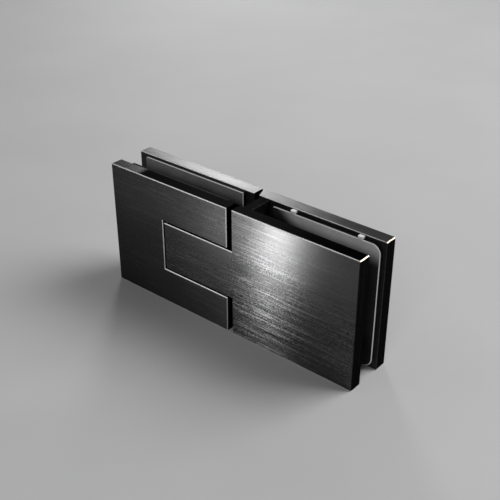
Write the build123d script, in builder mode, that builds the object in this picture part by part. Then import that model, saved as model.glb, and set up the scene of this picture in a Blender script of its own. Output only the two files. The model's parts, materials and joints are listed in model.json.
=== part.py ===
from build123d import *
import math
import os

os.makedirs("parts", exist_ok=True)

# Glass-to-glass door hinge, double acting, millimetres.
# X runs along the hinge from the fixed half to the door half, Y through the glass from front to back,
# Z up along the pivot pin. The origin is under the middle of the hinge, on its lower edges.

# ---- glass and sheet sizes -------------------------------------------------------------------------
glass_thickness = 8.0
gasket_thickness = 2.0
plate_thickness = 6.0

# ---- face sizes ------------------------------------------------------------------------------------
fixed_plate_length = 68.0
door_plate_length = 62.2
lower_arm = 17.0
tongue_height = 22.8
upper_arm = 18.4
tongue_gap = 0.9
face_gap = 2.8
back_gap = 0.9
face_chamfer = 0.3
inner_chamfer = 0.25
corner_chamfer = 0.4

# ---- pivot -----------------------------------------------------------------------------------------
arm_reach = 20.0            # pivot axis to the fixed plates' right ends
tongue_reach = 16.3         # pivot axis to the tongue's left end
swing_clearance = 0.35      # left round every corner that swings past another
pin_diameter = 8.0
pin_flat_depth = 0.4
pin_chamfer = 0.5
running_fit = 0.05
close_fit = 0.03
bush_wall = 0.95
bush_length = 5.0
flange_thickness = 1.1
flange_edge = 0.3
end_float = 0.1
bore_relief = 0.4

# ---- pivot blocks and knuckle body -----------------------------------------------------------------
block_height = 10.4
block_half_length = 14.0
block_floor = 1.5
block_chamfer = 0.5
spine_width = 4.8
spine_inset = 0.4
knuckle_reach = 14.0
knuckle_end_radius = 3.0

# ---- detent ----------------------------------------------------------------------------------------
plunger_diameter = 8.4
plunger_length = 7.0
plunger_nose_chamfer = 0.8
plunger_spigot_diameter = 4.6
plunger_spigot_length = 2.5
pin_to_plunger = 0.1
plug_diameter = 10.0
plug_length = 5.5
plug_inset = 0.5
plug_socket = 5.0
plug_socket_depth = 3.0
plug_chamfer = 0.5
spring_wire_width = 1.3
spring_wire_height = 1.0
spring_outer_diameter = 7.8
spring_turns = 5
spring_end_gap = 0.2

# ---- screws and sleeves ----------------------------------------------------------------------------
thread_clearance = 0.05
shank_clearance = 0.2
head_clearance = 0.1
head_sink = 0.2
tapped_depth = 4.6
tip_clearance = 0.6
tip_chamfer = 0.4
head_rim = 0.4
clamp_thread = 5.0
clamp_head = 9.6
clamp_socket = 3.0
clamp_socket_depth = 2.0
block_thread = 4.0
block_head = 7.6
block_socket = 2.5
block_socket_depth = 1.6
sleeve_wall = 1.8
sleeve_end_gap = 0.05
sleeve_clearance = 0.3
fixed_screw_setback = 0.5      # from the middle of the fixed gaskets' clamped land
door_screw_setback = 29.0
clamp_edge_distance = 12.5
block_screw_offset = 9.6
knuckle_screw_offset = 9.5
dowel_diameter = 3.0
dowel_chamfer = 0.4
dowel_in_spine = 7.0
dowel_in_plate = 4.2
dowel_end_gap = 0.4
dowel_edge_distance = 9.0

# ---- gaskets ---------------------------------------------------------------------------------------
fixed_gasket_inset = 0.6
door_gasket_inset = 1.5
fixed_gasket_setback = 5.4     # from the fixed plates' free end
gasket_end_setback = 4.5
gasket_block_gap = 0.6
gasket_spine_gap = 3.0
fixed_gasket_radius = 1.5
door_gasket_radius = 4.0
gasket_inner_radius = 1.0
gasket_edge_chamfer = 0.3
tab_width = 2.3
tab_height = 1.0
tab_setbacks = (11.0, 43.5)

# ---- places worked out from the sizes --------------------------------------------------------------
half_slot = glass_thickness / 2 + gasket_thickness
half_depth = half_slot + plate_thickness
plate_height = lower_arm + tongue_height + upper_arm + 2 * tongue_gap
overall_length = fixed_plate_length + face_gap + door_plate_length

fixed_end = -overall_length / 2
door_end = overall_length / 2
arm_end = fixed_end + fixed_plate_length
axis_x = arm_end - arm_reach

notch_end = axis_x - tongue_reach - tongue_gap
notch_bottom = lower_arm
notch_top = plate_height - upper_arm
tongue_end = axis_x - tongue_reach
tongue_bottom = notch_bottom + tongue_gap
tongue_top = notch_top - tongue_gap

# Radius that the corner of an arm, or of the tongue, describes round the pin
arm_swing = math.hypot(arm_reach, half_depth - face_chamfer) + swing_clearance
tongue_swing = math.hypot(tongue_reach, half_depth - face_chamfer) + swing_clearance

pin_radius = pin_diameter / 2
bush_radius = pin_radius + running_fit + bush_wall
flange_radius = half_slot - flange_edge
knuckle_bottom = notch_bottom + end_float + flange_thickness
knuckle_top = notch_top - end_float - flange_thickness
knuckle_height = knuckle_top - knuckle_bottom
knuckle_middle = (knuckle_top + knuckle_bottom) / 2

lower_block_bottom = notch_bottom - block_height
upper_block_top = notch_top + block_height

spine_left = axis_x + arm_swing
spine_right = spine_left + spine_width
spine_middle = (spine_left + spine_right) / 2

knuckle_screw_x = axis_x - knuckle_screw_offset
dowel_heights = (dowel_edge_distance, plate_height - dowel_edge_distance)
clamp_heights = (clamp_edge_distance, plate_height - clamp_edge_distance)
fixed_gasket_left = fixed_end + fixed_gasket_setback
fixed_window_left = axis_x - tongue_swing
fixed_clamp_x = (fixed_gasket_left + fixed_window_left) / 2 - fixed_screw_setback
door_clamp_x = door_end - door_screw_setback
clamp_hole_radius = clamp_thread / 2 + shank_clearance
clamp_sink_radius = clamp_head / 2 + head_clearance + head_sink + head_rim
block_hole_radius = block_thread / 2 + shank_clearance
block_sink_radius = block_head / 2 + head_clearance + head_sink + head_rim
sleeve_radius = clamp_hole_radius + sleeve_wall

sides = ("front", "back")
levels = ("lower", "upper")


def plate_plane(side):
    """Plane from which a plate is extruded towards the front."""
    near_y = -half_slot if side == "front" else half_depth
    return Plane.XZ.offset(-near_y)


def outer_face_edges(part, side):
    """Edges round the face that looks away from the glass."""
    faces = part.faces().filter_by(Axis.Y).sort_by(Axis.Y)
    return (faces[0] if side == "front" else faces[-1]).outer_wire().edges()


def glass_face_edges(part, side):
    """Edges round the face that looks at the glass."""
    faces = part.faces().filter_by(Axis.Y).sort_by(Axis.Y)
    return (faces[-1] if side == "front" else faces[0]).outer_wire().edges()


def inner_rim_edges(part, side, low_x, high_x):
    """Edges on the glass side, other than the long ones of the notch or tongue."""
    rim = []
    for edge in glass_face_edges(part, side):
        middle = edge.center()
        on_end = middle.X < low_x + 2 * corner_chamfer or middle.X > high_x - 2 * corner_chamfer
        on_side = min(abs(middle.Z), abs(middle.Z - plate_height)) < 0.01
        if on_end or on_side:
            rim.append(edge)
    return rim


def countersunk_screw(x, head_y, z, thread, head, tip_y, socket, socket_depth):
    """Flat-head socket screw along Y, its head at the back."""
    thread_radius = thread / 2
    head_radius = head / 2
    cone = head_radius - thread_radius
    with BuildPart() as screw:
        with BuildSketch(Plane.XY.offset(z)):
            with BuildLine():
                Polyline(
                    (x, head_y),
                    (x + head_radius, head_y),
                    (x + head_radius, head_y - head_rim),
                    (x + thread_radius, head_y - head_rim - cone),
                    (x + thread_radius, tip_y + tip_chamfer),
                    (x + thread_radius - tip_chamfer, tip_y),
                    (x, tip_y),
                    close=True,
                )
            make_face()
        revolve(axis=Axis((x, 0, z), (0, 1, 0)))
        with BuildSketch(Plane(origin=(x, head_y, z), x_dir=(1, 0, 0), z_dir=(0, 1, 0))):
            RegularPolygon(radius=socket / 2, side_count=6, major_radius=False)
        extrude(amount=-socket_depth, mode=Mode.SUBTRACT)
    return screw.part


# ---- fixed half: notched plates --------------------------------------------------------------------
for side in sides:
    with BuildPart() as fixed_plate:
        with BuildSketch(plate_plane(side)):
            with Locations(((fixed_end + arm_end) / 2, plate_height / 2)):
                Rectangle(fixed_plate_length, plate_height)
            with Locations(((notch_end + arm_end) / 2, (notch_bottom + notch_top) / 2)):
                Rectangle(arm_end - notch_end, notch_top - notch_bottom, mode=Mode.SUBTRACT)
        extrude(amount=plate_thickness)
        chamfer(fixed_plate.edges().filter_by(Axis.Y).group_by(Axis.X)[0], length=corner_chamfer)
        chamfer(outer_face_edges(fixed_plate.part, side), length=face_chamfer)
        chamfer(inner_rim_edges(fixed_plate.part, side, fixed_end, arm_end), length=inner_chamfer)
        # The notch's end is hollowed on the radius that the tongue's corners describe
        with BuildSketch(Plane.XY.offset(notch_bottom)):
            with Locations((axis_x, 0)):
                Circle(tongue_swing)
        extrude(amount=notch_top - notch_bottom, mode=Mode.SUBTRACT)
        if side == "back":
            with Locations(Plane(origin=(fixed_clamp_x, half_depth, 0), x_dir=(-1, 0, 0), z_dir=(0, 1, 0))):
                with Locations(*[(0, height) for height in clamp_heights]):
                    CounterSinkHole(
                        radius=clamp_hole_radius,
                        counter_sink_radius=clamp_sink_radius,
                    )
        else:
            with Locations(Plane(origin=(0, -half_slot, 0), x_dir=(-1, 0, 0), z_dir=(0, 1, 0))):
                with Locations(*[(-fixed_clamp_x, height) for height in clamp_heights]):
                    Hole(radius=clamp_thread / 2 + thread_clearance, depth=tapped_depth)
                for block_middle in (notch_bottom - block_height / 2, notch_top + block_height / 2):
                    with Locations(
                        (-axis_x - block_screw_offset, block_middle),
                        (-axis_x + block_screw_offset, block_middle),
                    ):
                        Hole(radius=block_thread / 2 + thread_clearance, depth=tapped_depth)
    fixed_plate.part.label = "fixed_plate_" + side
    export_step(fixed_plate.part, f"parts/fixed_plate_{side}.step")

# ---- door half: tongued plates ---------------------------------------------------------------------
for side in sides:
    plate_left = arm_end + (face_gap if side == "front" else back_gap)
    with BuildPart() as door_plate:
        with BuildSketch(plate_plane(side)):
            with Locations(((plate_left + door_end) / 2, plate_height / 2)):
                Rectangle(door_end - plate_left, plate_height)
            with Locations(((tongue_end + door_end) / 2, (tongue_bottom + tongue_top) / 2)):
                Rectangle(door_end - tongue_end, tongue_height)
        extrude(amount=plate_thickness)
        chamfer(door_plate.edges().filter_by(Axis.Y).group_by(Axis.X)[-1], length=corner_chamfer)
        chamfer(outer_face_edges(door_plate.part, side), length=face_chamfer)
        chamfer(inner_rim_edges(door_plate.part, side, tongue_end, door_end), length=inner_chamfer)
        # Above and below the tongue the end is hollowed on the radius that the arms' corners describe
        for low, high in ((0, tongue_bottom), (tongue_top, plate_height)):
            with BuildSketch(Plane.XY.offset(low)):
                with Locations((axis_x, 0)):
                    Circle(arm_swing)
            extrude(amount=high - low, mode=Mode.SUBTRACT)
        if side == "back":
            with Locations(Plane(origin=(door_clamp_x, half_depth, 0), x_dir=(-1, 0, 0), z_dir=(0, 1, 0))):
                with Locations(*[(0, height) for height in clamp_heights]):
                    CounterSinkHole(
                        radius=clamp_hole_radius,
                        counter_sink_radius=clamp_sink_radius,
                    )
        else:
            with Locations(Plane(origin=(0, -half_slot, 0), x_dir=(-1, 0, 0), z_dir=(0, 1, 0))):
                with Locations(*[(-door_clamp_x, height) for height in clamp_heights]):
                    Hole(radius=clamp_thread / 2 + thread_clearance, depth=tapped_depth)
                with Locations((-knuckle_screw_x, knuckle_middle)):
                    Hole(radius=block_thread / 2 + thread_clearance, depth=tapped_depth)
                with Locations(*[(-spine_middle, height) for height in dowel_heights]):
                    Hole(radius=dowel_diameter / 2 + close_fit, depth=dowel_in_plate + dowel_end_gap)
    door_plate.part.label = "door_plate_" + side
    export_step(door_plate.part, f"parts/door_plate_{side}.step")

# ---- fixed half: pivot blocks between the plates ---------------------------------------------------
for level in levels:
    block_bottom = lower_block_bottom if level == "lower" else notch_top
    pin_hole_bottom = block_bottom + block_floor if level == "lower" else block_bottom
    block_middle = block_bottom + block_height / 2
    with BuildPart() as pivot_block:
        with BuildSketch(Plane.XY.offset(block_bottom)):
            with Locations((axis_x, 0)):
                Rectangle(2 * block_half_length, 2 * half_slot)
        extrude(amount=block_height)
        chamfer(pivot_block.edges().filter_by(Axis.Z), length=block_chamfer)
        # Blind hole with a flat, which keeps the pin from turning
        with BuildSketch(Plane.XY.offset(pin_hole_bottom)):
            with Locations((axis_x, 0)):
                Circle(pin_radius + close_fit)
            with Locations((axis_x + 2 * pin_radius - pin_flat_depth + close_fit, 0)):
                Rectangle(2 * pin_radius, 4 * pin_radius, mode=Mode.SUBTRACT)
        extrude(amount=block_height - block_floor, mode=Mode.SUBTRACT)
        with Locations(Plane(origin=(axis_x, half_slot, block_middle), x_dir=(-1, 0, 0), z_dir=(0, 1, 0))):
            with Locations((-block_screw_offset, 0), (block_screw_offset, 0)):
                CounterSinkHole(radius=block_hole_radius, counter_sink_radius=block_sink_radius)
    pivot_block.part.label = "pivot_block_" + level
    export_step(pivot_block.part, f"parts/pivot_block_{level}.step")

# ---- fixed half: pivot pin -------------------------------------------------------------------------
pin_bottom = lower_block_bottom + block_floor + end_float
pin_top = upper_block_top - block_floor - end_float
detent_flat_height = plunger_diameter + 2 * pin_chamfer
with BuildPart() as pivot_pin:
    with BuildSketch(Plane.XY.offset(pin_bottom)):
        with Locations((axis_x, 0)):
            Circle(pin_radius)
    extrude(amount=pin_top - pin_bottom)
    chamfer(pivot_pin.edges(), length=pin_chamfer)
    # End flats seat in the pivot blocks
    for low, high in ((pin_bottom, notch_bottom), (notch_top, pin_top)):
        with BuildSketch(Plane.XY.offset(low)):
            with Locations((axis_x + 2 * pin_radius - pin_flat_depth, 0)):
                Rectangle(2 * pin_radius, 4 * pin_radius)
        extrude(amount=high - low, mode=Mode.SUBTRACT)
    # Detent flats for the closed door and for the door a quarter turn open either way
    with BuildSketch(Plane.XY.offset(knuckle_middle - detent_flat_height / 2)):
        for turn in (-90, 0, 90):
            with Locations(Location((axis_x, 0, 0), (0, 0, turn))):
                with Locations((2 * pin_radius - pin_flat_depth, 0)):
                    Rectangle(2 * pin_radius, 4 * pin_radius)
    extrude(amount=detent_flat_height, mode=Mode.SUBTRACT)
pivot_pin.part.label = "pivot_pin"
export_step(pivot_pin.part, "parts/pivot_pin.step")

# ---- door half: knuckle body, a spine between the plates and an arm round the pin ------------------
with BuildPart() as knuckle_body:
    with BuildSketch(Plane.XY.offset(spine_inset)):
        with Locations((spine_middle, 0)):
            Rectangle(spine_width, 2 * half_slot)
    extrude(amount=plate_height - 2 * spine_inset)
    chamfer(knuckle_body.edges().filter_by(Axis.Y), length=block_chamfer)
    with BuildSketch(Plane.XY.offset(knuckle_bottom)):
        with Locations(((axis_x - knuckle_reach + spine_middle) / 2, 0)):
            Rectangle(spine_middle - axis_x + knuckle_reach, 2 * half_slot)
    extrude(amount=knuckle_height)
    fillet(knuckle_body.edges().filter_by(Axis.Z).group_by(Axis.X)[0], radius=knuckle_end_radius)
    # Pin bore, wider where the bushes sit
    with Locations(Location((axis_x, 0, knuckle_top))):
        Hole(radius=pin_radius + bore_relief, depth=knuckle_height)
        Hole(radius=bush_radius + close_fit, depth=bush_length + running_fit)
    with Locations(Location((axis_x, 0, knuckle_bottom), (180, 0, 0))):
        Hole(radius=bush_radius + close_fit, depth=bush_length + running_fit)
    # Detent bore from the glass side, tapped at its mouth
    with BuildSketch(Plane(origin=(spine_right, 0, knuckle_middle), x_dir=(0, 1, 0), z_dir=(1, 0, 0))):
        Circle(plunger_diameter / 2 + running_fit)
    extrude(amount=axis_x - spine_right, mode=Mode.SUBTRACT)
    with BuildSketch(Plane(origin=(spine_right, 0, knuckle_middle), x_dir=(0, 1, 0), z_dir=(1, 0, 0))):
        Circle(plug_diameter / 2 + thread_clearance)
    extrude(amount=-plug_inset - plug_length - plug_inset, mode=Mode.SUBTRACT)
    with Locations(Plane(origin=(0, half_slot, 0), x_dir=(-1, 0, 0), z_dir=(0, 1, 0))):
        with Locations((-knuckle_screw_x, knuckle_middle)):
            CounterSinkHole(radius=block_hole_radius, counter_sink_radius=block_sink_radius)
    with Locations(Plane(origin=(spine_middle, -half_slot, 0), x_dir=(1, 0, 0), z_dir=(0, -1, 0))):
        with Locations(*[(0, height) for height in dowel_heights]):
            Hole(radius=dowel_diameter / 2 + close_fit, depth=dowel_in_spine + dowel_end_gap)
knuckle_body.part.label = "knuckle_body"
export_step(knuckle_body.part, "parts/knuckle_body.step")

# ---- door half: flanged bushes ---------------------------------------------------------------------
for level in levels:
    flange_z = notch_bottom + end_float if level == "lower" else knuckle_top
    tube_z = knuckle_bottom if level == "lower" else knuckle_top - bush_length
    with BuildPart() as bush:
        with BuildSketch(Plane.XY.offset(flange_z)):
            with Locations((axis_x, 0)):
                Circle(flange_radius)
        extrude(amount=flange_thickness)
        with BuildSketch(Plane.XY.offset(tube_z)):
            with Locations((axis_x, 0)):
                Circle(bush_radius)
        extrude(amount=bush_length)
        with Locations(Location((axis_x, 0, notch_top))):
            Hole(radius=pin_radius + running_fit, depth=notch_top)
    bush.part.label = "bush_" + level
    export_step(bush.part, f"parts/bush_{level}.step")

# ---- door half: detent plunger, its spring and the plug that loads it ------------------------------
plunger_tip = axis_x + pin_radius + pin_to_plunger
plunger_back = plunger_tip + plunger_length
plug_back = spine_right - plug_inset
plug_front = plug_back - plug_length

with BuildPart() as detent_plunger:
    with BuildSketch(Plane(origin=(plunger_tip, 0, knuckle_middle), x_dir=(0, 1, 0), z_dir=(1, 0, 0))):
        Circle(plunger_diameter / 2)
    extrude(amount=plunger_length)
    chamfer(detent_plunger.edges().sort_by(Axis.X)[0], length=plunger_nose_chamfer)
    with BuildSketch(Plane(origin=(plunger_back, 0, knuckle_middle), x_dir=(0, 1, 0), z_dir=(1, 0, 0))):
        Circle(plunger_spigot_diameter / 2)
    extrude(amount=plunger_spigot_length)
detent_plunger.part.label = "detent_plunger"
export_step(detent_plunger.part, "parts/detent_plunger.step")

# Square wire, its two ends ground flat
spring_start = plunger_back + spring_end_gap
spring_length = plug_front - spring_end_gap - spring_start
spring_pitch = spring_length / spring_turns
with BuildPart() as detent_spring:
    with BuildLine() as spring_path:
        Helix(
            pitch=spring_pitch,
            height=spring_length + spring_pitch / 2,
            radius=(spring_outer_diameter - spring_wire_width) / 2,
            center=(spring_start - spring_pitch / 4, 0, knuckle_middle),
            direction=(1, 0, 0),
        )
    wire_start = spring_path.line @ 0
    coil_centre = Vector(wire_start.X, 0, knuckle_middle)
    with BuildSketch(Plane(origin=wire_start, x_dir=wire_start - coil_centre, z_dir=spring_path.line % 0)):
        Rectangle(spring_wire_width, spring_wire_height)
    sweep(path=spring_path.line, is_frenet=True)
    with BuildSketch(Plane(origin=(spring_start, 0, knuckle_middle), x_dir=(0, 1, 0), z_dir=(1, 0, 0))):
        Circle(spring_outer_diameter)
    extrude(amount=spring_length, mode=Mode.INTERSECT)
detent_spring.part.label = "detent_spring"
export_step(detent_spring.part, "parts/detent_spring.step")

with BuildPart() as spring_plug:
    with BuildSketch(Plane(origin=(plug_front, 0, knuckle_middle), x_dir=(0, 1, 0), z_dir=(1, 0, 0))):
        Circle(plug_diameter / 2)
    extrude(amount=plug_length)
    chamfer(spring_plug.edges(), length=plug_chamfer)
    with BuildSketch(Plane(origin=(plug_back, 0, knuckle_middle), x_dir=(0, 1, 0), z_dir=(1, 0, 0))):
        RegularPolygon(radius=plug_socket / 2, side_count=6, major_radius=False)
    extrude(amount=-plug_socket_depth, mode=Mode.SUBTRACT)
spring_plug.part.label = "spring_plug"
export_step(spring_plug.part, "parts/spring_plug.step")

# ---- screws ----------------------------------------------------------------------------------------
tip_y = tip_clearance - half_slot - tapped_depth
block_screws = {
    "pivot_screw_lower_left": (axis_x - block_screw_offset, notch_bottom - block_height / 2),
    "pivot_screw_lower_right": (axis_x + block_screw_offset, notch_bottom - block_height / 2),
    "pivot_screw_upper_left": (axis_x - block_screw_offset, notch_top + block_height / 2),
    "pivot_screw_upper_right": (axis_x + block_screw_offset, notch_top + block_height / 2),
    "knuckle_screw": (knuckle_screw_x, knuckle_middle),
}
for name, (screw_x, screw_z) in block_screws.items():
    head_y = half_slot - head_sink
    block_screw = countersunk_screw(
        screw_x, head_y, screw_z, block_thread, block_head, tip_y, block_socket, block_socket_depth
    )
    block_screw.label = name
    export_step(block_screw, f"parts/{name}.step")

clamp_places = {
    "fixed_lower": (fixed_clamp_x, clamp_heights[0]),
    "fixed_upper": (fixed_clamp_x, clamp_heights[1]),
    "door_lower": (door_clamp_x, clamp_heights[0]),
    "door_upper": (door_clamp_x, clamp_heights[1]),
}
for place, (screw_x, screw_z) in clamp_places.items():
    head_y = half_depth - head_sink
    clamp_screw = countersunk_screw(
        screw_x, head_y, screw_z, clamp_thread, clamp_head, tip_y, clamp_socket, clamp_socket_depth
    )
    clamp_screw.label = "clamp_screw_" + place
    export_step(clamp_screw, f"parts/clamp_screw_{place}.step")

# ---- dowels that place the knuckle's spine on the front plate --------------------------------------
for level, dowel_z in zip(levels, dowel_heights):
    with BuildPart() as spine_dowel:
        with BuildSketch(Plane.XZ.offset(half_slot - dowel_in_spine)):
            with Locations((spine_middle, dowel_z)):
                Circle(dowel_diameter / 2)
        extrude(amount=dowel_in_spine + dowel_in_plate)
        chamfer(spine_dowel.edges(), length=dowel_chamfer)
    spine_dowel.part.label = "spine_dowel_" + level
    export_step(spine_dowel.part, f"parts/spine_dowel_{level}.step")

# ---- sleeves that keep the clamp screws off the glass ----------------------------------------------
for place, (sleeve_x, sleeve_z) in clamp_places.items():
    with BuildPart() as screw_sleeve:
        with BuildSketch(Plane.XZ.offset(sleeve_end_gap - half_slot)):
            with Locations((sleeve_x, sleeve_z)):
                Circle(sleeve_radius)
                Circle(clamp_hole_radius, mode=Mode.SUBTRACT)
        extrude(amount=2 * (half_slot - sleeve_end_gap))
    screw_sleeve.part.label = "screw_sleeve_" + place
    export_step(screw_sleeve.part, f"parts/screw_sleeve_{place}.step")

# ---- gaskets ---------------------------------------------------------------------------------------
for side in sides:
    near_y = -half_slot if side == "front" else half_slot - gasket_thickness
    gasket_plane = Plane.XZ.offset(-near_y - gasket_thickness)
    gasket_right = arm_end - gasket_end_setback
    window_bottom = lower_block_bottom - gasket_block_gap
    window_top = upper_block_top + gasket_block_gap
    with BuildPart() as fixed_gasket:
        with BuildSketch(gasket_plane) as outline:
            with Locations(((fixed_gasket_left + gasket_right) / 2, plate_height / 2)):
                Rectangle(gasket_right - fixed_gasket_left, plate_height - 2 * fixed_gasket_inset)
            fillet(outline.vertices().group_by(Axis.X)[0], radius=fixed_gasket_radius)
            with Locations(((fixed_window_left + arm_end) / 2, (window_bottom + window_top) / 2)):
                Rectangle(arm_end - fixed_window_left, window_top - window_bottom, mode=Mode.SUBTRACT)
            fillet(
                outline.vertices().filter_by(lambda v: abs(v.X - fixed_window_left) < 0.01),
                radius=gasket_inner_radius,
            )
            with Locations(*[(fixed_clamp_x, height) for height in clamp_heights]):
                Circle(sleeve_radius + sleeve_clearance, mode=Mode.SUBTRACT)
        extrude(amount=gasket_thickness)
        chamfer(glass_face_edges(fixed_gasket.part, side), length=gasket_edge_chamfer)
    fixed_gasket.part.label = "fixed_gasket_" + side
    export_step(fixed_gasket.part, f"parts/fixed_gasket_{side}.step")

    gasket_left = spine_right + gasket_spine_gap
    gasket_right = door_end - door_gasket_inset
    gasket_top = plate_height - door_gasket_inset
    with BuildPart() as door_gasket:
        with BuildSketch(gasket_plane) as outline:
            with Locations(((gasket_left + gasket_right) / 2, plate_height / 2)):
                Rectangle(gasket_right - gasket_left, plate_height - 2 * door_gasket_inset)
            fillet(outline.vertices().group_by(Axis.X)[0], radius=gasket_inner_radius)
            fillet(outline.vertices().group_by(Axis.X)[-1], radius=door_gasket_radius)
            if side == "back":
                with Locations(*[(door_end - setback, gasket_top) for setback in tab_setbacks]):
                    Rectangle(tab_width, 2 * tab_height)
            with Locations(*[(door_clamp_x, height) for height in clamp_heights]):
                Circle(sleeve_radius + sleeve_clearance, mode=Mode.SUBTRACT)
        extrude(amount=gasket_thickness)
        chamfer(glass_face_edges(door_gasket.part, side), length=gasket_edge_chamfer)
    door_gasket.part.label = "door_gasket_" + side
    export_step(door_gasket.part, f"parts/door_gasket_{side}.step")
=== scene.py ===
"""Looks of the glass door hinge: finishes, real threads and the coil spring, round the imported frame."""

import json
import math

import bmesh
import bpy
from mathutils import Matrix, Vector


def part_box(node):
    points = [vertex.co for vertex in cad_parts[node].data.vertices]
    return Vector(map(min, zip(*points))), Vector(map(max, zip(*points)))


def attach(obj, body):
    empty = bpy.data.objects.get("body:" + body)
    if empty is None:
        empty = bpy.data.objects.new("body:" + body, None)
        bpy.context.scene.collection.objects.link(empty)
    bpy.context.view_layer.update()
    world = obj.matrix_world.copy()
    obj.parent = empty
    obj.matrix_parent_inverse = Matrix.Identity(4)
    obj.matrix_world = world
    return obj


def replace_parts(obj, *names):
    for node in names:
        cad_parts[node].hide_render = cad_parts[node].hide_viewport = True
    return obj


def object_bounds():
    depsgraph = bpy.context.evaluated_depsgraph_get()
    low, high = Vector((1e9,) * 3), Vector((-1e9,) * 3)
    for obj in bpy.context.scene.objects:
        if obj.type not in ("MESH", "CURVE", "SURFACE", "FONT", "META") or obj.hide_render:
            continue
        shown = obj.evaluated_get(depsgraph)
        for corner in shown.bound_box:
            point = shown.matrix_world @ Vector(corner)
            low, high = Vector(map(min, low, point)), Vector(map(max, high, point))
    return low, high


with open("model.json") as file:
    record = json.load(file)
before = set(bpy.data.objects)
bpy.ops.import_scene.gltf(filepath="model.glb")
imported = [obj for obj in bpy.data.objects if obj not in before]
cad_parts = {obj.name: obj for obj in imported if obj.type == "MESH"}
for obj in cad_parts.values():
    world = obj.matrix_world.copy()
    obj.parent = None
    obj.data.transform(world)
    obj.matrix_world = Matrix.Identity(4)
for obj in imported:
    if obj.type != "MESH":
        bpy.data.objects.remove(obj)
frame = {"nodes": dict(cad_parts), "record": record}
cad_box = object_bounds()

MM = 0.001
nodes = frame["nodes"]


def size_of(node):
    """Lengths of a CAD node's box along X, Y and Z, in millimetres."""
    low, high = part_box(node)
    return [(b - a) / MM for a, b in zip(low, high)]


def middle_of(node):
    """Middle of a CAD node's box, in millimetres."""
    low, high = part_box(node)
    return tuple((a + b) / 2 / MM for a, b in zip(low, high))


# ---- node helpers ----------------------------------------------------------------------------------
class Graph:
    """Short calls for building one material's nodes."""

    def __init__(self, name):
        self.material = bpy.data.materials.new(name)
        self.material.use_nodes = True
        self.tree = self.material.node_tree
        self.tree.nodes.clear()
        self.output = self.add("ShaderNodeOutputMaterial")

    def add(self, kind, **settings):
        node = self.tree.nodes.new(kind)
        for key, value in settings.items():
            setattr(node, key, value)
        return node

    def feed(self, socket, value):
        """Links an output to a socket, or sets the socket to a plain value."""
        if isinstance(value, bpy.types.NodeSocket):
            self.tree.links.new(value, socket)
        else:
            socket.default_value = value

    def math(self, operation, *values):
        node = self.add("ShaderNodeMath", operation=operation)
        for socket, value in zip(node.inputs, values):
            self.feed(socket, value)
        return node.outputs[0]

    def times(self, first, *others):
        """Product of two or more values."""
        for other in others:
            first = self.math("MULTIPLY", first, other)
        return first

    def vector(self, operation, *values):
        node = self.add("ShaderNodeVectorMath", operation=operation)
        for socket, value in zip(node.inputs, values):
            self.feed(socket, value)
        return node.outputs["Value" if operation in ("DOT_PRODUCT", "LENGTH") else "Vector"]

    def ramp(self, value, low, high, to_low=0.0, to_high=1.0, smooth=True):
        """value taken from low..high to to_low..to_high, held at the ends."""
        node = self.add("ShaderNodeMapRange", interpolation_type="SMOOTHSTEP" if smooth else "LINEAR")
        for socket, number in zip(node.inputs, (value, low, high, to_low, to_high)):
            self.feed(socket, number)
        return node.outputs["Result"]

    def blend(self, factor, a, b):
        """Colour a where factor is 0, colour b where it is 1."""
        node = self.add("ShaderNodeMix", data_type="RGBA")
        self.feed(node.inputs["Factor"], factor)
        # The colour sockets share the names A, B and Result with those of the other data types
        self.feed(node.inputs[6], a)
        self.feed(node.inputs[7], b)
        return node.outputs[2]

    def split(self, vector):
        node = self.add("ShaderNodeSeparateXYZ")
        self.feed(node.inputs[0], vector)
        return node.outputs

    def join(self, x, y, z):
        node = self.add("ShaderNodeCombineXYZ")
        for socket, value in zip(node.inputs, (x, y, z)):
            self.feed(socket, value)
        return node.outputs[0]

    def place(self):
        """Position on the piece in millimetres, in the hinge's own frame."""
        where = self.add("ShaderNodeTexCoord").outputs["Object"]
        return self.vector("MULTIPLY", where, (1 / MM,) * 3)

    def facing(self):
        """Surface normal in the hinge's own frame."""
        return self.turned("NORMAL", "WORLD", "OBJECT", self.add("ShaderNodeNewGeometry").outputs["Normal"])

    def turned(self, kind, source, goal, value):
        """Vector or normal taken from one of the spaces OBJECT and WORLD to the other."""
        node = self.add("ShaderNodeVectorTransform", vector_type=kind, convert_from=source, convert_to=goal)
        self.feed(node.inputs[0], value)
        return node.outputs[0]

    def noise(self, where, scale, detail=2.0, roughness=0.5, stretch=(1.0, 1.0, 1.0), shift=0.0):
        """Noise over a place that is stretched and then shifted, so that two noises differ."""
        placed = self.vector("MULTIPLY", where, stretch)
        placed = self.vector("ADD", placed, (shift, 1.7 * shift, 2.3 * shift))
        node = self.add("ShaderNodeTexNoise")
        self.feed(node.inputs["Vector"], placed)
        self.feed(node.inputs["Scale"], scale)
        self.feed(node.inputs["Detail"], detail)
        self.feed(node.inputs["Roughness"], roughness)
        return node.outputs["Fac"]

    def bump(self, height, strength, distance):
        node = self.add("ShaderNodeBump")
        self.feed(node.inputs["Strength"], strength)
        self.feed(node.inputs["Distance"], distance)
        self.feed(node.inputs["Height"], height)
        return node.outputs[0]

    def shade(self, **sockets):
        """Principled shader with the named sockets set, joined to the output."""
        shader = self.add("ShaderNodeBsdfPrincipled")
        for key, value in sockets.items():
            self.feed(shader.inputs[key.replace("_", " ")], value)
        self.feed(self.output.inputs["Surface"], shader.outputs[0])
        return self.material


# ---- finishes --------------------------------------------------------------------------------------
SHADOW = (0.01, 0.01, 0.01, 1.0)
X_AXIS, Y_AXIS, Z_AXIS = range(3)


def grey(level, blue=1.0):
    return (level, level, blue * level, 1.0)


def drawn(axis, share):
    """share along one axis and 1 along the others: a small share draws a noise out along the axis."""
    return tuple(share if k == axis else 1.0 for k in range(3))


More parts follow.
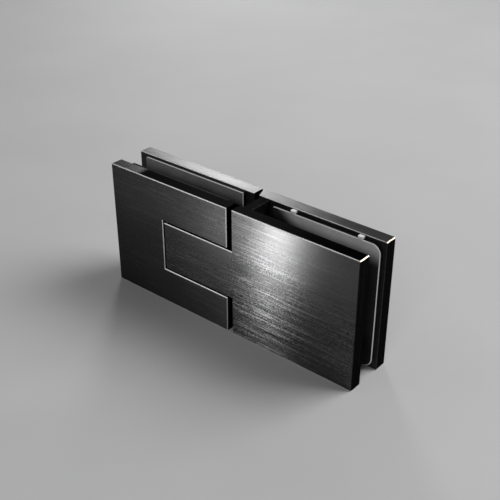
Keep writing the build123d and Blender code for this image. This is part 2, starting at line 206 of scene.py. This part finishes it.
def brush_contrast(g, place, along, shift, painted_glints_below, painted_glints_between):
    """How strongly the brushing shows: soft patches, and more of it where its pale marks are painted glints.
    """
    patch = g.noise(place, 0.05, 2.0, 0.5, drawn(along, 0.5), shift + 31.0)
    contrast = g.ramp(patch, 0.35, 0.65, 0.7, 1.2)
    x, _, z = g.split(place)
    # Painted glints: the marks grow stronger low down and between two places along X, where the bright band
    # falls
    if painted_glints_below:
        near_floor, clear_of_floor = 2.0, 18.0
        upper_fade = g.ramp(z, 0.5 * painted_glints_below, painted_glints_below, 1.8, 0.45)
        lower_fade = g.ramp(z, near_floor, clear_of_floor, 0.6, 1.0)
        contrast = g.times(contrast, upper_fade, lower_fade)
    if painted_glints_between:
        left, right = painted_glints_between
        left_width, right_width = 8.0, 16.0
        left_fade = g.ramp(x, left - left_width, left, 0.55, 1.2)
        right_fade = g.ramp(x, right, right + right_width, 1.0, 0.45)
        contrast = g.times(contrast, left_fade, right_fade)
    return contrast


def brushed_steel(name, level, roughness, along, shift, streak, sparkle, edge_tint=1.0, glitter=0.1,
                  painted_glints_below=None, painted_glints_between=None, foot=None, pale_end=None):
    """Satin stainless steel, brushed along X or Z of the hinge; its highlights spread across the brush lines.

    streak and sparkle are how far the long lines and the short glints lighten and darken the steel, and
    glitter is how far the glints tilt it. edge_tint is the share that it mirrors at a grazing angle. foot is
    the share of its brightness that it keeps low down, a painted shade; with it, it is painted darker towards
    the hinge's left end too.

    Places are in millimetres: the brush marks show more strongly below the height painted_glints_below, where
    highlights are tighter too, and between the two places painted_glints_between along X; there their pale
    lines and specks are painted glints of the lamps' bright band. The steel is paler left of pale_end, a
    painted reflection.
    """
    g = Graph(name)
    place = g.place()
    x, _, z = g.split(place)

    long_lines = g.noise(place, 0.9, 3.0, 0.62, drawn(along, 0.018), shift)
    hairs = g.noise(place, 2.2, 2.0, 0.6, drawn(along, 0.03), shift + 9.0)
    glints = g.noise(place, 3.4, 1.0, 0.7, drawn(along, 0.6), shift + 17.0)
    bands = g.noise(place, 0.8, 3.0, 0.65, drawn(along, 0.025), shift + 23.0)
    cloud = g.noise(place, 0.045, 2.0, 0.5, shift=shift + 43.0)
    grain = g.math("ADD", g.times(long_lines, 0.45), g.times(hairs, 0.55))

    dark_lines = g.ramp(grain, 0.30, 0.60, -streak, 0.0, smooth=False)
    pale_lines = g.ramp(grain, 0.50, 0.64, 0.0, 2.2 * streak)
    specks = g.ramp(glints, 0.42, 0.70, -0.4 * sparkle, 1.8 * sparkle)
    specks = g.times(specks, g.ramp(bands, 0.40, 0.60, 0.40, 1.30))
    marks = g.math("ADD", g.math("ADD", dark_lines, pale_lines), specks)
    contrast = brush_contrast(g, place, along, shift, painted_glints_below, painted_glints_between)

    tone = g.math("ADD", 1.0, g.times(marks, contrast))
    tone = g.times(tone, g.ramp(cloud, 0.30, 0.70, 0.94 * level, 1.06 * level, smooth=False))
    # Painted shade: darker low down and towards the left end
    if foot:
        foot_height, head_height = 26.0, 56.0
        left_end, half_way = -66.0, -20.0
        upward = g.ramp(z, foot_height, head_height, foot, 1.0)
        rightward = g.ramp(x, left_end, half_way, 0.55, 1.2, smooth=False)
        tone = g.times(tone, upward, rightward)
    # Painted reflection: the steel is far paler left of this end place
    if pale_end:
        end_gain, end_blur = 28.0, 4.0
        tone = g.times(tone, g.ramp(x, pale_end - end_blur, pale_end, end_gain, 1.0))

    rough = g.ramp(grain, 0.34, 0.66, roughness - 0.04, roughness + 0.04, smooth=False)
    if painted_glints_below:
        smoother = g.ramp(z, 0.6 * painted_glints_below, painted_glints_below + 8.0, 0.07, 0.0)
        rough = g.math("SUBTRACT", rough, smoother)

    # Tilted a little, so that the brush lines are never parallel to a flat's normal
    lines = (1.0, 0.0, 0.004) if along == X_AXIS else (0.004, 0.0, 1.0)
    normal = g.add("ShaderNodeNewGeometry").outputs["Normal"]
    across = g.vector("CROSS_PRODUCT", normal, g.turned("VECTOR", "OBJECT", "WORLD", lines))
    return g.shade(
        Base_Color=g.join(tone, tone, g.times(tone, 1.01)),
        Metallic=1.0,
        Roughness=rough,
        Anisotropic=1.0,
        Specular_Tint=grey(edge_tint),
        Tangent=g.vector("NORMALIZE", across),
        Normal=g.bump(g.math("ADD", grain, g.times(glints, glitter)), 0.8, 0.05 * MM),
    )


def milled_steel(name, level, roughness, tint=(1.0, 0.99, 0.965)):
    """Cut steel with faint tool marks, for chamfers; its near-white tone is partly the cut finish and partly
    painted highlight.
    """
    g = Graph(name)
    place = g.place()
    marks = g.noise(place, 3.0, 3.0, 0.6)
    wear = g.noise(place, 0.25, 2.0, 0.5, shift=5.0)
    tone = g.times(g.ramp(marks, 0.3, 0.7, 0.93 * level, 1.05 * level), g.ramp(wear, 0.3, 0.7, 0.90, 1.05))
    return g.shade(
        Base_Color=g.join(*[g.times(tone, share) for share in tint]),
        Metallic=1.0,
        Roughness=g.ramp(marks, 0.3, 0.7, roughness - 0.04, roughness + 0.06),
        Normal=g.bump(marks, 0.2, 0.02 * MM),
    )


def slot_shade_steel(name):
    """Dull steel for the side that looks at the glass, painted near black as the shade in the slot."""
    g = Graph(name)
    place = g.place()
    scale = g.noise(place, 0.5, 4.0, 0.6)
    pits = g.noise(place, 4.0, 3.0, 0.6, shift=3.0)
    return g.shade(
        Base_Color=g.blend(g.ramp(scale, 0.3, 0.7), (0.018, 0.018, 0.019, 1.0), (0.034, 0.033, 0.032, 1.0)),
        Metallic=0.6,
        Roughness=g.ramp(pits, 0.3, 0.7, 0.50, 0.66),
        Normal=g.bump(pits, 0.3, 0.03 * MM),
    )


def black_coating(name):
    """Matt black coated steel, a little worn and lighter along its chamfers."""
    g = Graph(name)
    place = g.place()
    size = g.split(g.vector("ABSOLUTE", g.facing()))
    largest = g.math("MAXIMUM", g.math("MAXIMUM", size[0], size[1]), size[2])
    chamfer = g.ramp(largest, 0.80, 0.93, 1.0, 0.0)
    speckle = g.noise(place, 5.0, 4.0, 0.6)
    patches = g.noise(place, 0.35, 3.0, 0.5, shift=4.0)
    worn = g.times(chamfer, g.ramp(patches, 0.35, 0.60, 0.25, 1.0))
    colour = g.blend(g.ramp(patches, 0.3, 0.7), grey(0.004), (0.008, 0.008, 0.0082, 1.0))
    return g.shade(
        Base_Color=g.blend(worn, colour, grey(0.02)),
        Metallic=0.0,
        Roughness=g.ramp(speckle, 0.3, 0.7, 0.55, 0.70),
        Specular_IOR_Level=0.005,
        Normal=g.bump(speckle, 0.25, 0.03 * MM),
    )


def gasket_sheet(name, low, high, pore, sheen=0.5, pale_above=None, dark_below=None, dark_before=None):
    """Smooth glazing gasket between two greys, with fine pores.

    Places are in millimetres: the sheet is pale above pale_above, a painted highlight, and in painted shadow
    below dark_below and left of dark_before. The edge of the second shadow slants, and moves right as it goes
    down.
    """
    g = Graph(name)
    place = g.place()
    x, _, z = g.split(place)
    near_top = 57.5
    mottle = g.noise(place, 0.12, 4.0, 0.65)
    pores = g.noise(place, 2.2, 3.0, 0.7, shift=7.0)
    colour = g.blend(g.ramp(mottle, 0.3, 0.7), grey(low, 1.01), grey(high, 1.01))
    colour = g.blend(g.ramp(pores, 0.45, 0.72, 0.0, 0.6), colour, grey(pore))
    if pale_above:
        colour = g.blend(g.ramp(z, pale_above - 0.5, pale_above), colour, (0.85, 0.85, 0.84, 1.0))
    if dark_below:
        colour = g.blend(g.ramp(z, dark_below - 5.0, dark_below + 4.0, 0.97, 0.0), colour, SHADOW)
    if dark_before:
        slanted = g.math("ADD", x, g.math("SUBTRACT", z, near_top))
        colour = g.blend(g.ramp(slanted, dark_before - 5.5, dark_before + 4.5, 0.97, 0.0), colour, SHADOW)
    return g.shade(
        Base_Color=colour,
        Metallic=0.0,
        Roughness=g.ramp(pores, 0.3, 0.7, 0.40, 0.55),
        Specular_IOR_Level=sheen,
        Normal=g.bump(pores, 0.25, 0.04 * MM),
    )


def turning_marks(g, place, node, axis, scale, detail, roughness):
    """Noise in fine rings about an axis through the middle of a CAD node."""
    away = g.vector("SUBTRACT", place, middle_of(node))
    radius = g.vector("LENGTH", g.vector("MULTIPLY", away, drawn(axis, 0.0)))
    return g.noise(g.join(radius, g.split(away)[axis], 0.0), scale, detail, roughness)


def moulded_plastic(node, tone, axis):
    """Natural engineering plastic with faint rings turned about the node's axis."""
    g = Graph("plastic_" + node)
    place = g.place()
    rings = turning_marks(g, place, node, axis, 4.0, 2.0, 0.5)
    cloud = g.noise(place, 0.5, 3.0, 0.5)
    shade = tuple(c - 0.10 for c in tone) + (1.0,)
    return g.shade(
        Base_Color=g.blend(g.ramp(cloud, 0.3, 0.7), shade, tone + (1.0,)),
        Roughness=g.ramp(rings, 0.3, 0.7, 0.34, 0.50),
        Subsurface_Weight=0.15,
        Subsurface_Radius=(0.6, 0.55, 0.45),
        Subsurface_Scale=0.8 * MM,
        Normal=g.bump(rings, 0.12, 0.03 * MM),
    )


def turned_steel(name, node, level, axis, roughness):
    """Machined steel with fine lathe rings about the node's axis."""
    g = Graph(name)
    place = g.place()
    tone = (level, level, level + 0.01)
    rings = turning_marks(g, place, node, axis, 5.0, 3.0, 0.6)
    cloud = g.noise(place, 0.6, 2.0, 0.5)
    low = tuple(0.85 * c for c in tone) + (1.0,)
    high = tuple(1.12 * c for c in tone) + (1.0,)
    rough = g.ramp(rings, 0.3, 0.7, roughness - 0.06, roughness + 0.06)
    return g.shade(
        Base_Color=g.blend(g.ramp(rings, 0.3, 0.7), low, high),
        Metallic=1.0,
        Roughness=g.math("ADD", rough, g.ramp(cloud, 0.4, 0.7, 0.0, 0.06)),
        Normal=g.bump(rings, 0.12, 0.02 * MM),
    )


# ---- meshes, in millimetres along +Z ---------------------------------------------------------------
AROUND = 48
THREAD_STEPS = 8


def polar(radius, angle, height):
    return (radius * math.cos(angle), radius * math.sin(angle), height)


def hexagon(across_flats, margin=0.0):
    """Radius of a hexagon with a margin round it, as a function of the angle."""

    def radius(angle):
        return across_flats / 2 / math.cos((angle % (math.pi / 3)) - math.pi / 6) + margin

    return radius


def ring_faces(first, second):
    """Quads between two closed rings of vertex indices."""
    count = len(first)
    return [(first[k], first[(k + 1) % count], second[(k + 1) % count], second[k]) for k in range(count)]


def thread_profile(phase):
    """Depth share of a 60 degree thread over one pitch, 0 on the crest and 1 at the root."""
    crest = 0.22
    flank = 0.62
    share = abs(phase - 0.5) * 2
    return 1 - min(max((share - crest) / flank, 0.0), 1.0)


def threaded_rod(radius, pitch, low, high):
    """Vertices and faces of a helical thread between two heights, with a runout at both ends."""
    depth = 0.6 * pitch
    runout = 0.8 * pitch
    length = high - low
    rows = int(math.ceil(length / pitch * THREAD_STEPS)) + 2 * THREAD_STEPS
    points = []
    for row in range(-THREAD_STEPS, rows + 1):
        for k in range(AROUND):
            turn = k / AROUND
            along = (row / THREAD_STEPS + turn) * pitch
            height = min(max(along, 0.0), length)
            fade = min(1.0, height / runout, (length - height) / runout)
            cut = depth * thread_profile((row / THREAD_STEPS) % 1.0) * max(fade, 0.0)
            points.append(polar(radius - cut, 2 * math.pi * turn, low + height))
    faces = []
    total = rows + THREAD_STEPS + 1
    for row in range(total - 1):
        for k in range(AROUND):
            a = row * AROUND + k
            d = (row + 1) * AROUND + k
            if k < AROUND - 1:
                faces.append((a, a + 1, d + 1, d))
            elif row + THREAD_STEPS + 1 < total:
                # One turn on, the helix meets the rows that lie a pitch higher
                faces.append((a, (row + THREAD_STEPS) * AROUND, (row + THREAD_STEPS + 1) * AROUND, d))
    return points, faces


def lathe(points, faces, rings):
    """Adds rings, each (radius or function of the angle, height), joined in order; returns the last one."""
    previous = None
    for radius, height in rings:
        start = len(points)
        for k in range(AROUND):
            angle = 2 * math.pi * k / AROUND
            points.append(polar(radius(angle) if callable(radius) else radius, angle, height))
        current = list(range(start, start + AROUND))
        if previous:
            faces.extend(ring_faces(previous, current))
        previous = current
    return previous


def cap(points, faces, ring, height):
    """Closes a ring with a flat or cone whose middle lies at a height."""
    centre = len(points)
    points.append((0.0, 0.0, height))
    for k in range(len(ring)):
        faces.append((ring[k], ring[(k + 1) % len(ring)], centre))


def socket_rings(across_flats, top, depth, mouth_width, mouth_depth):
    """Rings of a hexagon socket, from its chamfered mouth to its floor."""
    return [
        (hexagon(across_flats, mouth_width), top),
        (hexagon(across_flats), top - mouth_depth),
        (hexagon(across_flats), top - depth),
    ]


def replacement(prefix, node, axis, points, faces, material, sharp=32):
    """Piece that takes the place of a CAD node: +Z goes to the axis and the origin to the node's low end.

    It is joined at its seams and shaded smooth up to the angle sharp, in degrees.
    """
    low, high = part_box(node)
    origin = Vector([(a + b) / 2 for a, b in zip(low, high)])
    origin[axis] = low[axis]
    direction = Vector([float(k == axis) for k in range(3)])
    turn = Vector((0, 0, 1)).rotation_difference(direction).to_matrix().to_4x4()

    mesh = bpy.data.meshes.new(prefix + node)
    mesh.from_pydata([tuple(c * MM for c in p) for p in points], [], faces)
    mesh.transform(Matrix.Translation(origin) @ turn)
    bm = bmesh.new()
    bm.from_mesh(mesh)
    bmesh.ops.remove_doubles(bm, verts=bm.verts, dist=0.002 * MM)
    bmesh.ops.dissolve_degenerate(bm, dist=0.001 * MM, edges=bm.edges)
    bmesh.ops.recalc_face_normals(bm, faces=bm.faces)
    bm.to_mesh(mesh)
    bm.free()
    mesh.polygons.foreach_set("use_smooth", [True] * len(mesh.polygons))
    mesh.set_sharp_from_angle(angle=math.radians(sharp))
    mesh.materials.append(material)

    piece = bpy.data.objects.new(prefix + node, mesh)
    bpy.context.scene.collection.objects.link(piece)
    bodies = frame["record"]["behaviour"]["bodies"]
    body = next(name for name, members in bodies.items() if node in members)
    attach(piece, body)
    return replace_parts(piece, node)


def flat_head_screw(node, thread, pitch, socket, socket_depth, material):
    """Countersunk socket screw with a real thread, along Y."""
    tip_chamfer = 0.4
    rim = 0.4
    edge = 0.12
    head, length, _ = size_of(node)
    shoulder = length - rim - (head - thread) / 2
    points, faces = threaded_rod(thread / 2, pitch, tip_chamfer, shoulder)
    tip = lathe(points, faces, [(thread / 2, tip_chamfer), (thread / 2 - tip_chamfer, 0.0)])
    cap(points, faces, tip, 0.0)
    rings = [
        (thread / 2, shoulder),
        (head / 2, length - rim),
        (head / 2, length - edge),
        (head / 2 - edge / 3, length - edge / 3),
        (head / 2 - edge, length),
    ]
    rings += socket_rings(socket, length, socket_depth, mouth_width=0.22, mouth_depth=0.2)
    floor = lathe(points, faces, rings)
    drill_cone = 0.25 * socket
    cap(points, faces, floor, length - socket_depth - drill_cone)
    return replacement("threaded_", node, Y_AXIS, points, faces, material)


def threaded_plug(node, pitch, socket, socket_depth, chamfer, material):
    """Socket set screw that loads the detent spring, along X."""
    length, diameter, _ = size_of(node)
    radius = diameter / 2
    points, faces = threaded_rod(radius, pitch, chamfer, length - chamfer)
    front = lathe(points, faces, [(radius, chamfer), (radius - chamfer, 0.0)])
    cap(points, faces, front, 0.0)
    rings = [(radius, length - chamfer), (radius - chamfer, length)]
    rings += socket_rings(socket, length, socket_depth, mouth_width=0.3, mouth_depth=0.3)
    floor = lathe(points, faces, rings)
    drill_cone = 0.2 * socket
    cap(points, faces, floor, length - socket_depth - drill_cone)
    return replacement("threaded_", node, X_AXIS, points, faces, material)


def coil_spring(node, turns, wire, material):
    """Round-wire spring along X; its first and last turns are closed and ground flat."""
    length, diameter, _ = size_of(node)
    radius = diameter / 2 - wire / 2
    steps = 40
    ring = 14
    end_height = 0.48 * wire
    closed_pitch = 0.5 * wire
    open_turns = turns - 2
    open_pitch = (length - 2 * end_height - 2 * closed_pitch) / open_turns
    points = []
    faces = []
    previous = None
    for step in range(int(turns * steps) + 1):
        turn = step / steps
        closed_turns = min(turn, 1.0) + 1.0 - min(turns - turn, 1.0)
        opened = max(0.0, min(turn - 1.0, open_turns))
        along = end_height + closed_turns * closed_pitch + opened * open_pitch
        current = []
        for k in range(ring):
            around = 2 * math.pi * k / ring
            out = radius + wire / 2 * math.cos(around)
            height = min(max(along + wire / 2 * math.sin(around), 0.0), length)
            current.append(len(points))
            points.append(polar(out, 2 * math.pi * turn, height))
        if previous:
            faces.extend(ring_faces(previous, current))
        else:
            faces.append(tuple(reversed(current)))
        previous = current
    faces.append(tuple(previous))
    return replacement("coiled_", node, X_AXIS, points, faces, material, sharp=50)


# ---- finishes put on the CAD nodes -----------------------------------------------------------------
# Sizes of a normal's part: above FLAT on a flat of its own, above SLOPED where it slopes that way at all
FLAT = 0.98
SLOPED = 0.3
FACE, EDGE, END, CHAMFER, GLASS_SIDE, RIM, CORNER = range(7)
SHEET, CUT, LINE = range(3)


def paint(names, material):
    for name in names:
        mesh = nodes[name].data
        mesh.materials.clear()
        mesh.materials.append(material)


def assign(name, finishes, choose):
    """Gives a CAD node several finishes; choose returns the number of the one that a polygon gets.

    It is given the polygon, the sizes of its normal's parts, and its distance from the middle of the glass.
    """
    mesh = nodes[name].data
    mesh.materials.clear()
    for material in finishes:
        mesh.materials.append(material)
    for polygon in mesh.polygons:
        polygon.material_index = choose(polygon, [abs(c) for c in polygon.normal], abs(polygon.center.y) / MM)


def paint_plate(name, face, edge):
    """Gives each flat of a plate one of the steels; their tones differ as painted light and shade."""
    low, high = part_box(name)
    rim_depth = min(abs(low.y), abs(high.y)) / MM + 0.35
    free_end = max(abs(low.x), abs(high.x)) / MM - 0.5
    hollow_slope = 0.73

    def choose(polygon, normal, depth):
        oblique = max(normal) < FLAT
        if depth < rim_depth:
            return RIM if oblique and polygon.normal.z > SLOPED else GLASS_SIDE
        if not oblique:
            return (END, FACE, EDGE)[normal.index(max(normal))]
        if normal[1] < 0.1:
            return CORNER
        upright = normal[2] < 0.01
        if upright and (abs(polygon.center.x) / MM > free_end or normal[0] > hollow_slope):
            return END
        return CHAMFER

    assign(name, (face, edge, end_steel, chamfer_steel, glass_side_steel, rim_steel, corner_steel), choose)


def paint_gasket(name):
    """Grey sheet, cut edges painted dark as shade and painted highlight lines where they meet; one gasket's
    tabs are pale all over, a painted highlight.
    """
    tabbed = name == "door_gasket_back"
    body_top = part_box("door_gasket_front")[1].z + 0.05 * MM
    spine_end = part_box("door_gasket_back")[0].x + 0.35 * MM
    middle_height = 30.0
    opening_reach = 24.0

    def choose(polygon, normal, depth):
        if normal[1] > FLAT:
            return SHEET
        in_opening = abs(polygon.center.z / MM - middle_height) < opening_reach
        by_spine = tabbed and polygon.center.x < spine_end
        # Painted shade: chamfers in the opening that face up, and the tabbed gasket's edges by the spine that
        # don't face up, go dark
        if (in_opening and normal[2] > SLOPED) or (by_spine and normal[2] < SLOPED):
            return CUT
        return LINE if normal[1] > 0.5 or (tabbed and polygon.center.z > body_top) else CUT

    assign(name, (tab_face if tabbed else gasket_face, gasket_edge, gasket_line), choose)


# Painted shade: the front plates' top and bottom edges near black, with dimmed grazing reflection, beside the
# back plates' paler edges; a painted reflection makes them pale at their left end
front_edge = brushed_steel(
    "steel_front_edges", level=0.010, roughness=0.34, along=X_AXIS, shift=70.0, streak=0.15, sparkle=0.08,
    edge_tint=0.45, pale_end=-48.0,
)
back_edge = brushed_steel(
    "steel_back_edges", level=0.29, roughness=0.34, along=X_AXIS, shift=80.0, streak=0.10, sparkle=0.05,
)
# Painted shade: the plates' ends near black, with dimmed grazing reflection
end_steel = brushed_steel(
    "steel_ends", level=0.012, roughness=0.36, along=Z_AXIS, shift=90.0, streak=0.15, sparkle=0.08,
    edge_tint=0.4,
)
# Painted shade: the front faces darken low down and towards the left end. On the door faces the brush marks
# are painted glints where the lamps' bright band falls
fixed_face = brushed_steel(
    "steel_fixed_faces", level=0.125, roughness=0.38, along=X_AXIS, shift=0.0, streak=0.15, sparkle=0.24,
    foot=0.55,
)
door_face = brushed_steel(
    "steel_door_faces", level=0.125, roughness=0.38, along=X_AXIS, shift=50.0, streak=0.40, sparkle=0.58,
    glitter=0.4, painted_glints_below=46.0, painted_glints_between=(6.0, 34.0), foot=0.62,
)
back_face = brushed_steel(
    "steel_back_faces", level=0.15, roughness=0.38, along=X_AXIS, shift=60.0, streak=0.24, sparkle=0.16,
)
# Chamfers, rims and corners near white: cut steel, with painted highlight lines
chamfer_steel = milled_steel("steel_chamfers", level=0.97, roughness=0.26)
# Painted glint: the corners' warm tint
corner_steel = milled_steel("steel_corners", level=0.95, roughness=0.30, tint=(1.0, 0.86, 0.68))
rim_steel = milled_steel("steel_rims", level=0.95, roughness=0.35)
# Painted shade: the plates' glass side near black, as the slot between them is
glass_side_steel = slot_shade_steel("steel_glass_side")
# The gasket rubber in lit and shaded copies: the tabbed sheet's paler grey is painted light, the other
# sheets' darker grey painted shade
gasket_face = gasket_sheet("gasket_faces", low=0.18, high=0.25, pore=0.32, sheen=0.15, dark_below=55.0)
tab_face = gasket_sheet(
    "gasket_tab_faces", low=0.54, high=0.64, pore=0.70, sheen=0.15,
    pale_above=58.7, dark_below=53.5, dark_before=20.0,
)
# Painted shade: the cut edges near black. Painted highlight: the pale lines along the edges
gasket_edge = gasket_sheet("gasket_edges", low=0.008, high=0.014, pore=0.02, sheen=0.01)
gasket_line = gasket_sheet("gasket_lines", low=0.76, high=0.82, pore=0.86)
for name, face, edge in (
    ("fixed_plate_front", fixed_face, front_edge),
    ("fixed_plate_back", back_face, back_edge),
    ("door_plate_front", door_face, front_edge),
    ("door_plate_back", back_face, back_edge),
):
    paint_plate(name, face, edge)
for name in [n for n in nodes if "gasket" in n]:
    paint_gasket(name)

paint(("pivot_block_lower", "pivot_block_upper", "knuckle_body"), black_coating("black_coating"))
for name in ("bush_lower", "bush_upper"):
    paint((name,), moulded_plastic(name, (0.80, 0.79, 0.74), Z_AXIS))
for name in [n for n in nodes if "sleeve" in n]:
    paint((name,), moulded_plastic(name, (0.74, 0.74, 0.72), Y_AXIS))
for name, node, level, axis, roughness in (
    ("ground_pin", "pivot_pin", 0.60, Z_AXIS, 0.22),
    ("ground_spine_dowel_lower", "spine_dowel_lower", 0.52, Y_AXIS, 0.26),
    ("ground_spine_dowel_upper", "spine_dowel_upper", 0.52, Y_AXIS, 0.26),
    ("ground_plunger", "detent_plunger", 0.52, X_AXIS, 0.26),
):
    paint((node,), turned_steel(name, node, level, axis, roughness))

for name in [n for n in nodes if n.startswith("clamp_screw")]:
    steel = turned_steel("steel_" + name, name, 0.50, Y_AXIS, 0.28)
    flat_head_screw(name, thread=5.0, pitch=0.8, socket=3.0, socket_depth=2.0, material=steel)
for name in [n for n in nodes if n.startswith("pivot_screw") or n == "knuckle_screw"]:
    steel = turned_steel("steel_" + name, name, 0.42, Y_AXIS, 0.30)
    flat_head_screw(name, thread=4.0, pitch=0.7, socket=2.5, socket_depth=1.6, material=steel)
steel = turned_steel("steel_plug", "spring_plug", 0.45, X_AXIS, 0.30)
threaded_plug("spring_plug", pitch=1.0, socket=5.0, socket_depth=3.0, chamfer=0.5, material=steel)
steel = turned_steel("spring_wire", "detent_spring", 0.28, X_AXIS, 0.30)
coil_spring("detent_spring", turns=5.5, wire=1.1, material=steel)


# ---- studio ----------------------------------------------------------------------------------------
def floor_sheet():
    """Pale matt floor, far wider than the view."""
    g = Graph("pale_floor")
    place = g.place()
    cloud = g.noise(place, 0.012, 3.0, 0.5)
    material = g.shade(
        Base_Color=g.blend(g.ramp(cloud, 0.2, 0.8), (0.53, 0.53, 0.534, 1.0), (0.56, 0.56, 0.563, 1.0)),
        Roughness=0.75,
    )
    half = 6.0
    clearance = 0.05 * MM
    corners = [(-half, -half, 0), (half, -half, 0), (half, half, 0), (-half, half, 0)]
    mesh = bpy.data.meshes.new("floor")
    mesh.from_pydata(corners, [], [(0, 1, 2, 3)])
    mesh.materials.append(material)
    floor = bpy.data.objects.new("floor", mesh)
    floor.location.z = cad_box[0].z - clearance
    bpy.context.scene.collection.objects.link(floor)


def softbox(name, target, direction, distance, width, height, level, spread):
    """Soft rectangular lamp that looks at the target, in metres and degrees.

    level is the share of full light that it gives a surface there that faces it.
    """
    data = bpy.data.lights.new(name, "AREA")
    data.shape = "RECTANGLE"
    data.size = width
    data.size_y = height
    data.energy = level * math.pi**2 * distance**2
    data.spread = math.radians(spread)
    lamp = bpy.data.objects.new(name, data)
    away = Vector(direction).normalized()
    lamp.location = Vector(target) + away * distance
    lamp.rotation_euler = away.to_track_quat("Z", "Y").to_euler()
    lamp.visible_camera = False
    bpy.context.scene.collection.objects.link(lamp)


floor_sheet()
centre = (0.0, 0.0, 0.03)
# Name, target, direction of the lamp, distance, width, height, level and spread
for lamp in (
    ("main", centre, (0.45, 0.50, 0.74), 1.2, 0.8, 0.8, 0.82, 180),
    # Mirrored in the top edges: the back plates' bright one, and the front plates' chamfers
    ("left_back", (-0.02, 0.009, 0.06), (-0.607, 0.67, 0.427), 0.8, 0.14, 0.45, 0.19, 180),
    ("left_front", (-0.01, -0.012, 0.06), (-0.58, -0.50, 0.64), 1.0, 0.35, 0.40, 0.03, 180),
    # Small and close, mirrored as the bright band down the faces
    ("strip", (0.020, -0.012, 0.060), (-0.075, -0.129, -0.036), 0.1535, 0.016, 0.03, 0.0160, 34),
    ("strip_left", (-0.006, -0.012, 0.062), (-0.086, -0.129, -0.038), 0.16, 0.03, 0.03, 0.0030, 40),
    ("strip_low", (0.014, -0.012, 0.030), (-0.069, -0.129, -0.006), 0.1464, 0.016, 0.03, 0.0145, 50),
    ("fill", centre, (0.35, -0.78, 0.52), 1.0, 0.3, 0.3, 0.14, 180),
):
    softbox(*lamp)

world = bpy.data.worlds.new("studio")
world.use_nodes = True
background = world.node_tree.nodes["Background"]
background.inputs["Color"].default_value = (0.12, 0.12, 0.1215, 1.0)
background.inputs["Strength"].default_value = 1.0
bpy.context.scene.world = world

# The photo's angle and perspective
camera_data = bpy.data.cameras.new("camera")
camera_data.lens = 63.47
camera_data.sensor_width = 36.0
camera_data.clip_start = 0.01
camera = bpy.data.objects.new("camera", camera_data)
camera.location = (0.21187, -0.24717, 0.22341)
aim = Vector((-0.0108, 0.0178, 0.0228))
camera.rotation_euler = (aim - camera.location).to_track_quat("-Z", "Y").to_euler()
bpy.context.scene.collection.objects.link(camera)
bpy.context.scene.camera = camera
bpy.context.scene.view_settings.view_transform = "Standard"
